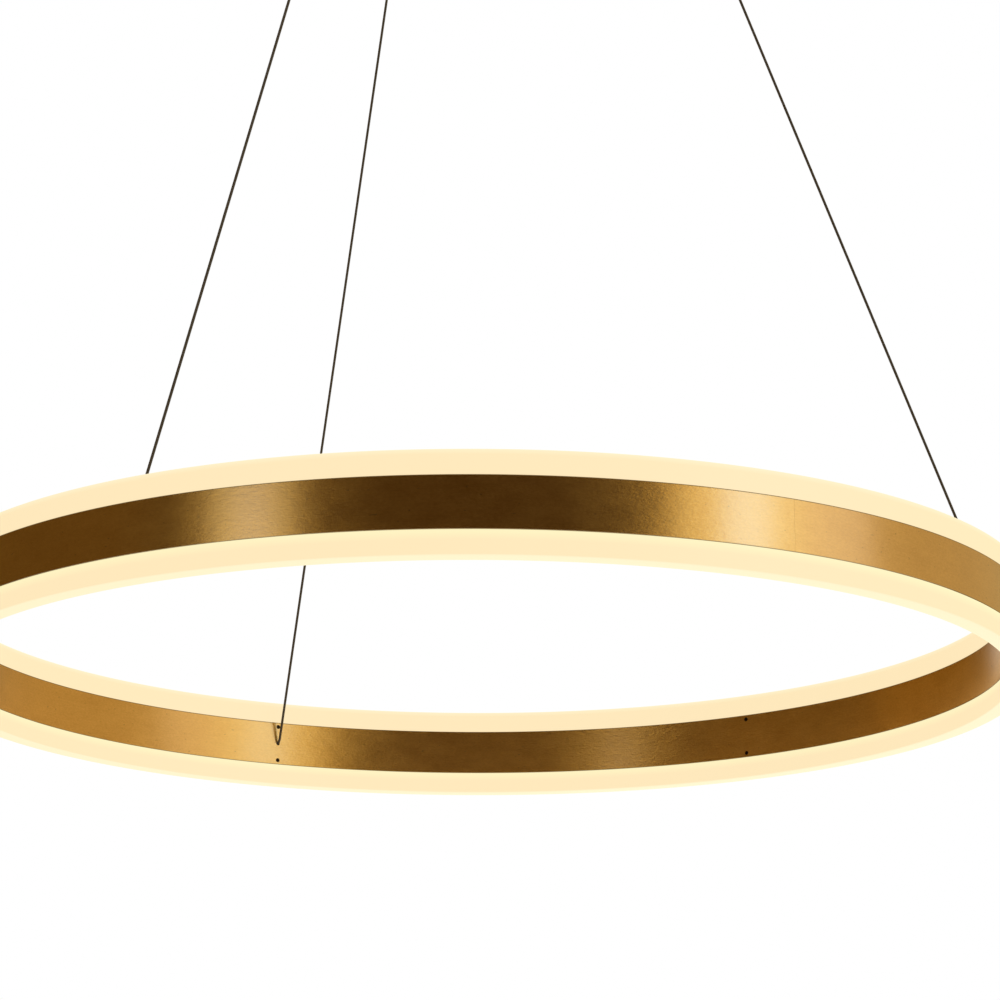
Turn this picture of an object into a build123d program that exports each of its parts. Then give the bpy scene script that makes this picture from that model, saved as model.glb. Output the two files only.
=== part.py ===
from build123d import *
import math
import os

# A ring-shaped LED pendant light, in millimetres. The ceiling is the plane z = 0, +Z points up, the ring's
# axis is Z, and the light is seen in use along +Y. Angles are counted from +X towards +Y.

# Ring profile: an extruded section rolled into a ring, with two light channels and a wire duct between them
ring_drop = 655.0
ring_outer_diameter = 600.0
ring_section_width = 10.0
band_height = 26.0
profile_wall = 1.5
web_thickness = 1.5
wire_duct_height = 8.0
seam_angle = -60.0
seam_gap = 0.2

# Diffusers: opal channels that stand on the band's edges and reach into the light channels
diffuser_reach = 12.5
diffuser_leg = 1.6
diffuser_leg_depth = 5.8
diffuser_roof = 2.5
diffuser_edge_radius = 0.8
diffuser_clearance = 0.15

# Set screws that hold the diffusers, seen on the inner face of the band
diffuser_screw_count = 6
diffuser_screw_diameter = 2.4
diffuser_screw_edge = 2.5
dog_point_diameter = 1.5
dog_point_length = 1.3
screw_recess = 0.1
screw_socket = 1.2
screw_socket_depth = 0.7
screw_clearance = 0.05

# Light sources
led_strip_width = 5.0
led_strip_thickness = 0.4
led_strip_gap = 4.0
led_count = 90
led_width = 2.8
led_length = 3.5
led_height = 0.7

# Splice at the profile's butt seam
splice_length = 50.0
splice_clearance = 0.1
splice_screw_spacing = 30.0
splice_screw_diameter = 2.9
splice_screw_bite = 1.8

# Suspension cables and what holds their ends
cable_count = 3
fed_cable_count = 2
first_cable_angle = 114.5
cable_diameter = 1.5
cable_hole_clearance = 0.35
cable_entry_radius = 2.0
cable_entry_run = 0.4
cable_tail = 6.0
cable_fit = 0.05
stop_diameter = 5.0
stop_length = 5.0
stop_bore_depth = 4.2
stop_access_clearance = 0.3
stop_seat = 0.05
tail_wire_diameter = 1.0
tail_hole_clearance = 0.3
sleeve_diameter = 3.4
sleeve_length = 8.0
sleeve_grip = 6.0

# Canopy and ceiling bracket
canopy_diameter = 200.0
canopy_height = 40.0
canopy_wall = 1.2
canopy_edge_radius = 3.0
bracket_width = 26.0
bracket_thickness = 2.0
bracket_tab_length = 14.0
bracket_side_clearance = 0.3
ceiling_slot_spacing = 60.0
ceiling_slot_length = 15.2
ceiling_slot_width = 5.2
supply_hole_diameter = 16.0
thumbscrew_level = 8.0
thumbscrew_diameter = 3.9
thumbscrew_hole_clearance = 0.3
thumbscrew_head_diameter = 9.0
thumbscrew_head_length = 7.0
thumbscrew_past_tab = 2.0

# Cable grippers
gripper_edge_distance = 25.0
gripper_thread_diameter = 6.0
gripper_hole_clearance = 0.2
gripper_nut_across_flats = 10.0
gripper_nut_height = 3.5
gripper_thread_past_nut = 2.0
gripper_flange_height = 2.0
gripper_spigot_length = 4.0
gripper_thread_clearance = 0.05
barrel_wall = 1.35
barrel_lip = 1.5
barrel_chamfer = 0.8
cone_half_angle = 12.0
ball_diameter = 2.0
ball_count = 3
ball_clearance = 0.05
ball_pocket_clearance = 0.1
cage_wall = 1.5
cage_clearance = 0.15
plunger_bore_clearance = 0.3
plunger_flange_width = 0.8
plunger_flange_height = 1.0
plunger_flange_clearance = 0.3
plunger_stop_clearance = 0.05
plunger_nipple = 5.0
trumpet_radius = 5.0
trumpet_angle = 40.0
spring_wire = 0.5
spring_length = 7.0
spring_turns = 5
spring_edge = 0.15
spring_seat = 0.05

# LED driver
driver_length = 96.0
driver_width = 38.0
driver_height = 22.0
driver_wall = 1.5
driver_offset_x = -2.0
driver_pad_height = 1.0
driver_pad_inset = 3.0
board_thickness = 1.6
board_clearance = 0.5
board_post_height = 2.5
board_post_diameter = 5.0
board_post_inset = 6.0
transformer_length = 26.0
transformer_width = 22.0
transformer_height = 12.5
capacitor_diameter = 10.0
capacitor_height = 12.5
capacitor_count = 2
capacitor_spacing = 14.0
component_offset_x = 22.0

# Mains terminal and earth
terminal_pitch = 8.0
terminal_count = 3
terminal_depth = 14.0
terminal_cover = 6.0
terminal_pad_height = 0.8
terminal_screw_diameter = 3.0
terminal_screw_inset = 4.0
terminal_screw_clearance = 0.1
terminal_distance = 16.0
earth_screw_diameter = 3.9
earth_screw_head_diameter = 8.0
earth_screw_head_height = 2.7
earth_screw_clearance = 0.1
earth_screw_end_gap = 0.1
earth_tag_thickness = 0.8
earth_tag_diameter = 9.0
earth_tag_width = 5.0
earth_tag_length = 14.0
earth_slot_distance = 8.5

# Leads in the canopy
lead_diameter = 2.4
lead_clearance = 0.15
lead_bend = 5.0
lead_bend_share = 0.9
lead_insertion = 4.0
lead_board_gap = 0.5
feed_lead_bend = 20.0
feed_lead_level = 3.0
feed_lead_spacing = 15.0
feed_lead_corner = 12.0
feed_lead_via_x = 20.0
feed_lead_via_y = 62.0

# Places worked out from the sizes above
ring_outer = ring_outer_diameter / 2
ring_inner = ring_outer - ring_section_width
ring_middle = (ring_outer + ring_inner) / 2
channel_outer = ring_outer - profile_wall
channel_inner = ring_inner + profile_wall
half_band = band_height / 2
half_duct = wire_duct_height / 2
web_face = half_duct + web_thickness
diffuser_top = half_band + diffuser_reach
diffuser_screw_level = half_band - diffuser_screw_edge
ring_place = Pos(0, 0, -ring_drop)
cable_angles = [first_cable_angle + i * 360 / cable_count for i in range(cable_count)]
cable_radius = cable_diameter / 2

canopy_radius = canopy_diameter / 2
canopy_inner = canopy_radius - canopy_wall
canopy_under = -canopy_height
canopy_floor = canopy_under + canopy_wall

gripper_circle = canopy_radius - gripper_edge_distance
gripper_bore = cable_radius + plunger_bore_clearance
cage_radius = gripper_bore + cage_wall
lip_radius = cage_radius + cage_clearance
plunger_flange_radius = cage_radius + plunger_flange_width
chamber_radius = plunger_flange_radius + plunger_flange_clearance
barrel_radius = chamber_radius + barrel_wall
cone_slope = math.tan(math.radians(cone_half_angle))
ball_radius = ball_diameter / 2
ball_orbit = cable_radius + ball_clearance + ball_radius
ball_seat = ball_orbit + (ball_radius + ball_clearance) / math.cos(math.radians(cone_half_angle))
stud_flange_under = canopy_under - gripper_flange_height
spigot_under = stud_flange_under - gripper_spigot_length
plunger_top = spigot_under - spring_length
plunger_flange_under = plunger_top - plunger_flange_height
plunger_stop_radius = plunger_flange_radius + plunger_stop_clearance
cone_bottom = plunger_flange_under - (plunger_stop_radius - lip_radius) / cone_slope
cone_top = cone_bottom + (chamber_radius - lip_radius) / cone_slope
ball_level = cone_bottom + (ball_seat - lip_radius) / cone_slope
barrel_under = cone_bottom - barrel_lip
plunger_mouth = barrel_under - plunger_nipple
trumpet_top = plunger_mouth + trumpet_radius * math.sin(math.radians(trumpet_angle))
stud_top = canopy_floor + gripper_nut_height + gripper_thread_past_nut
cable_top = stud_top + cable_tail
sleeve_under = cable_top - sleeve_grip
sleeve_top = sleeve_under + sleeve_length

driver_under = canopy_floor + driver_pad_height
driver_top = driver_under + driver_height
driver_end_left = driver_offset_x - driver_length / 2
driver_end_right = driver_offset_x + driver_length / 2
board_under = driver_under + driver_wall + board_post_height
board_top = board_under + board_thickness
mains_level = board_top + lead_board_gap + lead_diameter / 2
feed_level = driver_top - feed_lead_level
terminal_under = canopy_floor + terminal_pad_height
terminal_top = mains_level + terminal_cover
terminal_right = driver_end_left - terminal_distance
terminal_left = terminal_right - terminal_depth
earth_x = -(ceiling_slot_spacing + ceiling_slot_length) / 2 - earth_slot_distance
bracket_under = -bracket_thickness


# Shared shapes

def section(r0, r1, z0, z1):
    """A rectangle in the section plane, radius across and height up."""
    return Pos((r0 + r1) / 2, (z0 + z1) / 2) * Rectangle(r1 - r0, z1 - z0)


def outline(*points):
    """A straight-sided outline in the section plane."""
    return make_face(Polyline(*points, close=True))


def turned(face, arc=360.0, start=0.0):
    """A section turned about Z through the arc, from the start angle."""
    return Rot(0, 0, start) * revolve(Plane.XZ * face, Axis.Z, arc)


def spoke(r0, r1, radius, angle=0.0, z=0.0):
    """A round bar that points outwards from the Z axis."""
    return Rot(0, 0, angle) * Pos((r0 + r1) / 2, 0, z) * Rot(0, 90, 0) * Cylinder(radius, r1 - r0)


def upright(x, y, z0, z1, radius):
    """A round bar that stands between two heights."""
    return Pos(x, y, (z0 + z1) / 2) * Cylinder(radius, z1 - z0)


def block(x0, x1, y0, y1, z0, z1):
    """A box between two corners."""
    return Pos((x0 + x1) / 2, (y0 + y1) / 2, (z0 + z1) / 2) * Box(x1 - x0, y1 - y0, z1 - z0)


def tube_along(path, radius):
    """A round bar swept along a path."""
    return sweep(Plane(origin=path @ 0, z_dir=path % 0) * Circle(radius), path=path)


def group(solids):
    """Separate solids that share one node."""
    return Compound(children=list(solids))


def save(name, shape):
    """Write one node."""
    export_step(shape, os.path.join("parts", name + ".step"))


# Ring

def arc_degrees(length, radius):
    """The angle of an arc of that length."""
    return math.degrees(length / radius)


def screw_angles():
    """Angles of the diffuser screws: one pair over each cable hole, the others evenly between."""
    return [first_cable_angle + i * 360 / diffuser_screw_count for i in range(diffuser_screw_count)]


def splice_screw_angles():
    """Angles of the two splice screws, either side of the seam."""
    half = arc_degrees(splice_screw_spacing / 2, ring_inner)
    return [seam_angle - half, seam_angle + half]


def stop_middle():
    """Radius of the middle of a cable stop."""
    return channel_inner + stop_seat + stop_length / 2


def ring_profile():
    """The rolled extrusion, with its cable, screw and wiring holes."""
    walls = section(channel_outer, ring_outer, -half_band, half_band)
    walls += section(ring_inner, channel_inner, -half_band, half_band)
    walls += section(channel_inner, channel_outer, half_duct, web_face)
    walls += section(channel_inner, channel_outer, -web_face, -half_duct)
    gap = arc_degrees(seam_gap, ring_outer)
    ring = turned(walls, 360 - gap, seam_angle + gap / 2)
    near = ring_inner - profile_wall
    far = channel_inner + profile_wall
    cuts = [spoke(near, far, cable_radius + cable_hole_clearance, a) for a in cable_angles]
    for a in screw_angles():
        hole = diffuser_screw_diameter / 2 + screw_clearance
        cuts.append(spoke(near, far, hole, a, diffuser_screw_level))
        cuts.append(spoke(near, far, hole, a, -diffuser_screw_level))
    for a in splice_screw_angles():
        cuts.append(spoke(near, far, splice_screw_diameter / 2 + screw_clearance, a))
    access = stop_diameter / 2 + stop_access_clearance
    tail_hole = tail_wire_diameter / 2 + tail_hole_clearance
    for a in cable_angles:
        cuts.append(Rot(0, 0, a) * upright(stop_middle(), 0, half_duct, web_face, access))
        cuts.append(Rot(0, 0, a) * upright(stop_middle(), 0, -web_face, -half_duct, tail_hole))
    return ring - cuts


def diffuser():
    """The upper diffuser: a channel with a flush outer part, two legs and screw holes in its inner leg."""
    leg_outer = channel_outer - diffuser_clearance
    leg_inner = channel_inner + diffuser_clearance
    leg_under = half_band - diffuser_leg_depth
    shell = section(ring_inner, ring_outer, half_band, diffuser_top)
    rim = shell.vertices().group_by(Axis.Y)[-1]
    shell = fillet(rim, diffuser_edge_radius)
    shell += section(leg_inner, leg_outer, leg_under, half_band)
    roof = diffuser_top - diffuser_roof
    shell -= section(leg_inner + diffuser_leg, leg_outer - diffuser_leg, leg_under, roof)
    hole = dog_point_diameter / 2 + screw_clearance
    far = leg_inner + 2 * diffuser_leg
    return turned(shell) - [spoke(ring_inner, far, hole, a, diffuser_screw_level) for a in screw_angles()]


def set_screw(diameter, shoulder, tip, tip_diameter):
    """A set screw along +X in the inner wall, with a hex socket in its near end."""
    start = ring_inner + screw_recess
    screw = spoke(start, shoulder, diameter / 2)
    screw += spoke(shoulder, tip, tip_diameter / 2)
    socket = extrude(RegularPolygon(screw_socket / 2, 6), screw_socket_depth)
    return screw - Pos(start, 0, 0) * Rot(0, 90, 0) * socket


def diffuser_screws(level):
    """The set screws of one diffuser."""
    tip = channel_inner + dog_point_length
    screw = set_screw(diffuser_screw_diameter, channel_inner, tip, dog_point_diameter)
    return group(Rot(0, 0, a) * Pos(0, 0, level) * screw for a in screw_angles())


def led_strip():
    """The upper strip's flexible board, stuck to the web."""
    face = section(ring_middle - led_strip_width / 2, ring_middle + led_strip_width / 2,
                   web_face, web_face + led_strip_thickness)
    gap = arc_degrees(led_strip_gap, ring_middle)
    return turned(face, 360 - gap, seam_angle + gap / 2)


def led_chips():
    """The upper strip's light sources, spaced evenly clear of its two ends."""
    level = web_face + led_strip_thickness + led_height / 2
    step = 360 / led_count
    chip = Pos(ring_middle, 0, level) * Box(led_width, led_length, led_height)
    return group(Rot(0, 0, seam_angle + (i + 0.5) * step) * chip for i in range(led_count))


def ring_splice():
    """The curved bar in the wire duct that joins the profile's two ends."""
    face = section(channel_inner + splice_clearance, channel_outer - splice_clearance,
                   -half_duct + splice_clearance, half_duct - splice_clearance)
    arc = arc_degrees(splice_length, ring_middle)
    holes = [spoke(ring_inner, channel_inner + splice_clearance + splice_screw_bite,
                   splice_screw_diameter / 2 + screw_clearance, a) for a in splice_screw_angles()]
    return turned(face, arc, seam_angle - arc / 2) - holes


def splice_screws():
    """The two set screws that hold the splice."""
    tip = channel_inner + splice_clearance + splice_screw_bite - screw_clearance
    screw = set_screw(splice_screw_diameter, channel_inner, tip, splice_screw_diameter)
    return group(Rot(0, 0, a) * screw for a in splice_screw_angles())


def cable_stop():
    """The crimped stop on a cable's lower end, along +X."""
    start = channel_inner + stop_seat
    body = spoke(start, start + stop_length, stop_diameter / 2)
    return body - spoke(start, start + stop_bore_depth, cable_radius + cable_fit)


def fed_cable_angles():
    """Angles of the cables that carry the supply: the nearest ones to the driver's right end first."""
    return sorted(cable_angles, key=lambda a: -math.cos(math.radians(a)))[:fed_cable_count]


def strip_tails():
    """Conductors from the stops of the fed cables to the upper and lower strips."""
    reach = stop_diameter / 2
    up = upright(stop_middle(), 0, reach, web_face, tail_wire_diameter / 2)
    down = upright(stop_middle(), 0, -web_face, -reach, tail_wire_diameter / 2)
    return group(Rot(0, 0, a) * tail for a in fed_cable_angles() for tail in (up, down))


# Cable grippers, each drawn about the Z axis

def gripper_stud():
    """The hollow threaded stud that holds a gripper to the canopy."""
    thread = gripper_thread_diameter / 2
    spigot = chamber_radius - gripper_thread_clearance
    return turned(outline((gripper_bore, stud_top), (thread, stud_top), (thread, canopy_under),
                          (barrel_radius, canopy_under), (barrel_radius, stud_flange_under),
                          (spigot, stud_flange_under), (spigot, spigot_under), (gripper_bore, spigot_under)))


def gripper_nut():
    """The nut on the stud, on the canopy's floor."""
    hexagon = RegularPolygon(gripper_nut_across_flats / 2, 6, major_radius=False)
    hole = Circle(gripper_thread_diameter / 2 + gripper_thread_clearance)
    return Pos(0, 0, canopy_floor) * extrude(hexagon - hole, gripper_nut_height)


def gripper_barrel():
    """The barrel, with the spring's chamber above and the cone that wedges the balls below."""
    return turned(outline((chamber_radius, stud_flange_under), (barrel_radius, stud_flange_under),
                          (barrel_radius, barrel_under + barrel_chamfer),
                          (barrel_radius - barrel_chamfer, barrel_under), (lip_radius, barrel_under),
                          (lip_radius, cone_bottom), (chamber_radius, cone_top)))


def gripper_plunger():
    """The release plunger: spring flange, ball cage and a nipple with a flared mouth for the cable."""
    centre = gripper_bore + trumpet_radius

    def flare(angle):
        turn = math.radians(angle)
        return (centre - trumpet_radius * math.cos(turn), trumpet_top - trumpet_radius * math.sin(turn))

    straight = Polyline((gripper_bore, trumpet_top), (gripper_bore, plunger_top),
                        (plunger_flange_radius, plunger_top), (plunger_flange_radius, plunger_flange_under),
                        (cage_radius, plunger_flange_under), (cage_radius, plunger_mouth),
                        flare(trumpet_angle))
    mouth = ThreePointArc(flare(trumpet_angle), flare(trumpet_angle / 2), flare(0))
    body = turned(make_face(Curve() + [straight, mouth]))
    pocket = ball_radius + ball_pocket_clearance
    pockets = [spoke(0, lip_radius, pocket, i * 360 / ball_count, ball_level) for i in range(ball_count)]
    return body - pockets


def gripper_balls():
    """The balls that grip the cable."""
    ball = Pos(ball_orbit, 0, ball_level) * Sphere(ball_radius)
    return group(Rot(0, 0, i * 360 / ball_count) * ball for i in range(ball_count))


def biarc(p0, t0, p1, t1):
    """Two arcs that join two points and are tangent to the given directions."""
    span = p1 - p0
    lean = span.dot(t0 + t1)
    bend = 2 * (1 - t0.dot(t1))
    reach = (math.sqrt(lean * lean + bend * span.dot(span)) - lean) / bend
    joint = (p0 + p1 + (t0 - t1) * reach) / 2
    first = TangentArc(p0, joint, tangent=t0)
    return [first, TangentArc(joint, p1, tangent=first % 1)]


def gripper_spring():
    """The plunger's spring: one helix, swept on biarcs of a quarter turn."""
    quarters = 4
    mean = plunger_flange_radius - spring_edge - spring_wire / 2
    start = plunger_top + spring_seat + spring_wire / 2
    rise = spring_length - 2 * spring_seat - spring_wire
    climb = rise / (2 * math.pi * spring_turns)

    def place(i):
        turn = 2 * math.pi * i / quarters
        return Vector(mean * math.cos(turn), mean * math.sin(turn), start + climb * turn)

    def heading(i):
        turn = 2 * math.pi * i / quarters
        return Vector(-mean * math.sin(turn), mean * math.cos(turn), climb).normalized()

    steps = range(spring_turns * quarters)
    arcs = [arc for i in steps for arc in biarc(place(i), heading(i), place(i + 1), heading(i + 1))]
    print("spring: gap between turns", round(rise / spring_turns - spring_wire, 2))
    return tube_along(Wire(arcs), spring_wire / 2)


def cable_end_sleeve():
    """The insulated sleeve on a cable's upper end."""
    body = upright(0, 0, sleeve_under, sleeve_top, sleeve_diameter / 2)
    return body - upright(0, 0, sleeve_under, cable_top + cable_fit, cable_radius + cable_fit)


def gripped_cable():
    """The stretch of a cable that its gripper holds, drawn about the Z axis."""
    return upright(0, 0, trumpet_top, cable_top, cable_radius)


def suspension_cable():
    """The taut stretch of a cable along +X: out of its gripper, straight to the ring and into its stop."""
    bend = gripper_bore + trumpet_radius
    foot = ring_inner - cable_entry_run
    across = foot - gripper_circle - bend
    down = trumpet_top - (cable_entry_radius - ring_drop)
    slant = math.acos((cable_entry_radius - bend) / math.hypot(across, down)) - math.atan2(down, across)

    def on_bend(turn):
        return (gripper_circle + bend * (1 - math.cos(turn)), 0, trumpet_top - bend * math.sin(turn))

    def on_entry(turn):
        rise = cable_entry_radius * (1 - math.sin(turn))
        return (foot - cable_entry_radius * math.cos(turn), 0, rise - ring_drop)

    square = math.pi / 2
    tip = channel_inner + stop_seat + stop_bore_depth - cable_fit
    path = Wire([
        ThreePointArc(on_bend(0), on_bend(slant / 2), on_bend(slant)),
        Line(on_bend(slant), on_entry(slant)),
        ThreePointArc(on_entry(slant), on_entry((slant + square) / 2), on_entry(square)),
        Line(on_entry(square), (tip, 0, -ring_drop)),
    ])
    cable = tube_along(path, cable_radius)
    share = cable.volume / (path.length * math.pi * cable_radius ** 2)
    print("cable: radii", round(bend, 2), cable_entry_radius, "slant", round(math.degrees(slant), 2))
    print("cable: length", round(path.length, 2), "volume over section times length", round(share, 4))
    return cable


# Canopy and ceiling bracket

def tab_face():
    """Distance from the axis to the outside of the bracket's tabs, clear of the round wall."""
    return math.sqrt(canopy_inner ** 2 - (bracket_width / 2) ** 2) - bracket_side_clearance


def round_cup(radius, under, edge):
    """A solid drum below the ceiling with its lower edge rounded."""
    drum = upright(0, 0, under, 0, radius)
    return fillet(drum.edges().filter_by(GeomType.CIRCLE).group_by(Axis.Z)[0], edge)


def canopy_cover():
    """The cup that hides the wiring, open to the ceiling."""
    cup = round_cup(canopy_radius, canopy_under, canopy_edge_radius)
    hollow = round_cup(canopy_inner, canopy_floor, canopy_edge_radius - canopy_wall)
    hole_radius = gripper_thread_diameter / 2 + gripper_hole_clearance
    hole = upright(gripper_circle, 0, canopy_under, canopy_floor, hole_radius)
    holes = [Rot(0, 0, a) * hole for a in cable_angles]
    side = thumbscrew_diameter / 2 + thumbscrew_hole_clearance
    holes.append(spoke(-canopy_radius, canopy_radius, side, 0, -thumbscrew_level))
    return cup - hollow - holes


def ceiling_bracket():
    """The strap screwed to the ceiling: slots, a hole for the supply cable and two threaded tabs."""
    face = tab_face()
    half = bracket_width / 2
    strap = block(-face, face, -half, half, bracket_under, 0)
    for inner, outer in ((face - bracket_thickness, face), (-face, bracket_thickness - face)):
        strap += block(inner, outer, -half, half, -bracket_tab_length, bracket_under)
    slot = extrude(SlotOverall(ceiling_slot_length, ceiling_slot_width), -bracket_thickness)
    cuts = [Pos(x, 0, 0) * slot for x in (-ceiling_slot_spacing / 2, ceiling_slot_spacing / 2)]
    cuts.append(upright(0, 0, bracket_under, 0, supply_hole_diameter / 2))
    cuts.append(upright(earth_x, 0, bracket_under, 0, earth_screw_diameter / 2 + earth_screw_clearance))
    cuts.append(spoke(-face, face, thumbscrew_diameter / 2 + screw_clearance, 0, -thumbscrew_level))
    return strap - cuts


def canopy_thumbscrews():
    """The two screws that hold the canopy to the bracket."""
    head = canopy_radius + thumbscrew_head_length
    tip = tab_face() - bracket_thickness - thumbscrew_past_tab
    screw = spoke(tip, canopy_radius, thumbscrew_diameter / 2)
    screw += spoke(canopy_radius, head, thumbscrew_head_diameter / 2)
    return group(Rot(0, 0, a) * Pos(0, 0, -thumbscrew_level) * screw for a in (0, 180))


# Driver, terminal and leads

def feed_lead_holes():
    """Places across the driver's right end where the positive and negative feed leads leave it."""
    return feed_lead_spacing / 2, -feed_lead_spacing / 2


def terminal_poles():
    """Places of the poles across the terminal: live, earth and neutral."""
    return [(i - (terminal_count - 1) / 2) * terminal_pitch for i in range(terminal_count)]


def driver_case():
    """The driver's tray, with posts for the board and holes for the leads in its ends."""
    half = driver_width / 2
    tray = block(driver_end_left, driver_end_right, -half, half, driver_under, driver_top)
    tray -= block(driver_end_left + driver_wall, driver_end_right - driver_wall, driver_wall - half,
                  half - driver_wall, driver_under + driver_wall, driver_top)
    for x in (driver_end_left + board_post_inset, driver_end_right - board_post_inset):
        for y in (board_post_inset - half, half - board_post_inset):
            tray += upright(x, y, driver_under + driver_wall, board_under, board_post_diameter / 2)
    hole = lead_diameter / 2 + lead_clearance
    live, _, neutral = terminal_poles()
    cuts = [Pos(0, y, 0) * spoke(driver_end_left, driver_end_left + driver_wall, hole, 0, mains_level)
            for y in (live, neutral)]
    cuts += [Pos(0, y, 0) * spoke(driver_end_right - driver_wall, driver_end_right, hole, 0, feed_level)
             for y in feed_lead_holes()]
    return tray - cuts


def driver_lid():
    """The driver's flat lid."""
    half = driver_width / 2
    return block(driver_end_left, driver_end_right, -half, half, driver_top, driver_top + driver_wall)


def driver_board():
    """The driver's circuit board, on the tray's posts."""
    inset = driver_wall + board_clearance
    half = driver_width / 2 - inset
    return block(driver_end_left + inset, driver_end_right - inset, -half, half, board_under, board_top)


def driver_components():
    """The transformer and the capacitors on the board."""
    middle = driver_offset_x - component_offset_x
    length = transformer_length / 2
    width = transformer_width / 2
    top = board_top + transformer_height
    parts = [block(middle - length, middle + length, -width, width, board_top, top)]
    can = upright(driver_offset_x + component_offset_x, 0, board_top, board_top + capacitor_height,
                  capacitor_diameter / 2)
    for i in range(capacitor_count):
        parts.append(Pos(0, (i - (capacitor_count - 1) / 2) * capacitor_spacing, 0) * can)
    return group(parts)


def terminal_screw_places():
    """Places of the clamping screws, two on each pole."""
    ends = (terminal_left + terminal_screw_inset, terminal_right - terminal_screw_inset)
    return [(x, y) for x in ends for y in terminal_poles()]


def terminal_block():
    """The mains terminal, with a wire hole through each pole and a screw hole over each end of it."""
    half = terminal_pitch * terminal_count / 2
    body = block(terminal_left, terminal_right, -half, half, terminal_under, terminal_top)
    hole = lead_diameter / 2 + lead_clearance
    wire = spoke(terminal_left, terminal_right, hole, 0, mains_level)
    cuts = [Pos(0, y, 0) * wire for y in terminal_poles()]
    cuts += [upright(x, y, mains_level, terminal_top, terminal_screw_diameter / 2 + terminal_screw_clearance)
             for x, y in terminal_screw_places()]
    return body - cuts


def terminal_screws():
    """The clamping screws, standing on the leads."""
    under = mains_level + lead_diameter / 2 + lead_clearance
    screw = upright(0, 0, under, terminal_top, terminal_screw_diameter / 2)
    return group(Pos(x, y, 0) * screw for x, y in terminal_screw_places())


def mounting_tape():
    """The pads of foam tape under the driver and the terminal."""
    across = driver_width / 2 - driver_pad_inset
    half = terminal_pitch * terminal_count / 2
    left = driver_end_left + driver_pad_inset
    right = driver_end_right - driver_pad_inset
    return group([block(left, right, -across, across, canopy_floor, driver_under),
                  block(terminal_left, terminal_right, -half, half, canopy_floor, terminal_under)])


def earth_tag():
    """The ring tag under the bracket, with a tail for the earth lead."""
    plate = Circle(earth_tag_diameter / 2)
    plate += Pos(-earth_tag_length / 2, 0) * Rectangle(earth_tag_length, earth_tag_width)
    plate -= Circle(earth_screw_diameter / 2 + earth_screw_clearance)
    return Pos(earth_x, 0, bracket_under) * extrude(plate, -earth_tag_thickness)


def earth_screw():
    """The screw that holds the earth tag, short of the ceiling."""
    seat = bracket_under - earth_tag_thickness
    screw = upright(earth_x, 0, seat - earth_screw_head_height, seat, earth_screw_head_diameter / 2)
    return screw + upright(earth_x, 0, seat, -earth_screw_end_gap, earth_screw_diameter / 2)


def lead_bends(points, bend):
    """The bend at each corner of a lead that starts in a hole, smaller only where a run beside it is short."""
    runs = [Vector(*end) - Vector(*start) for start, end in zip(points, points[1:])]
    room = [lead_bend_share * run.length / 2 for run in runs]
    room[0] = lead_bend_share * (runs[0].length - lead_insertion)
    room[-1] *= 2
    turns = [math.radians(before.get_angle(after)) for before, after in zip(runs, runs[1:])]
    return [min(bend, min(room[i:i + 2]) / math.tan(turn / 2)) for i, turn in enumerate(turns)]


def lead(*points, bend=lead_bend):
    """An insulated lead along straight runs with round corners."""
    path = FilletPolyline(*points, radius=lead_bends(points, bend)) if len(points) > 2 else Line(*points)
    return tube_along(path, lead_diameter / 2)


def mains_lead(y):
    """A straight lead from the terminal to the driver's left end."""
    start = terminal_right - lead_insertion
    end = driver_end_left + lead_insertion
    return lead((start, y, mains_level), (end, y, mains_level))


def earth_lead():
    """The lead from the terminal's middle pole up to the earth tag, along the underside of its tail."""
    level = bracket_under - earth_tag_thickness - lead_diameter / 2 - lead_clearance
    end = earth_x - earth_screw_head_diameter / 2 - lead_clearance
    turn = (terminal_right + end) / 2
    return lead((terminal_right - lead_insertion, 0, mains_level), (turn, 0, mains_level), (turn, 0, level),
                (end, 0, level))


def feed_leads():
    """The two low-voltage leads, from the driver's right end to the sleeves on the fed cables."""
    inside = driver_end_right - lead_insertion
    corner = driver_end_right + feed_lead_corner
    near, far = [Vector(gripper_circle, 0, 0).rotate(Axis.Z, a) for a in fed_cable_angles()]
    high, low = feed_lead_holes()
    positive = lead((inside, high, feed_level), (corner, high, feed_level),
                    (corner, feed_lead_via_y / 2, feed_level), (feed_lead_via_x, feed_lead_via_y, feed_level),
                    (far.X, far.Y, feed_level), (far.X, far.Y, sleeve_top), bend=feed_lead_bend)
    negative = lead((inside, low, feed_level), (corner, low, feed_level), (near.X, near.Y, feed_level),
                    (near.X, near.Y, sleeve_top), bend=feed_lead_bend)
    return positive, negative


# Nodes

def save_ring():
    """The ring and everything that rises and falls with it."""
    upper = {"diffuser": diffuser(), "led_strip": led_strip(), "led_chips": led_chips()}
    for name, shape in upper.items():
        save("upper_" + name, ring_place * shape)
        save("lower_" + name, ring_place * mirror(shape, Plane.XY))
    save("upper_diffuser_screws", ring_place * diffuser_screws(diffuser_screw_level))
    save("lower_diffuser_screws", ring_place * diffuser_screws(-diffuser_screw_level))
    save("ring_profile", ring_place * ring_profile())
    save("ring_splice", ring_place * ring_splice())
    save("splice_screws", ring_place * splice_screws())
    save("strip_tails", ring_place * strip_tails())


def save_cables():
    """The cables, their grippers and their stops, one set at each cable angle."""
    at_gripper = (gripper_stud, gripper_nut, gripper_barrel, gripper_plunger, gripper_balls, gripper_spring,
                  cable_end_sleeve, gripped_cable)
    sets = {piece.__name__: Pos(gripper_circle, 0, 0) * piece() for piece in at_gripper}
    sets["suspension_cable"] = suspension_cable()
    sets["cable_stop"] = ring_place * cable_stop()
    for i, angle in enumerate(cable_angles, start=1):
        for name, shape in sets.items():
            save(f"{name}_{i}", Rot(0, 0, angle) * shape)


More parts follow.
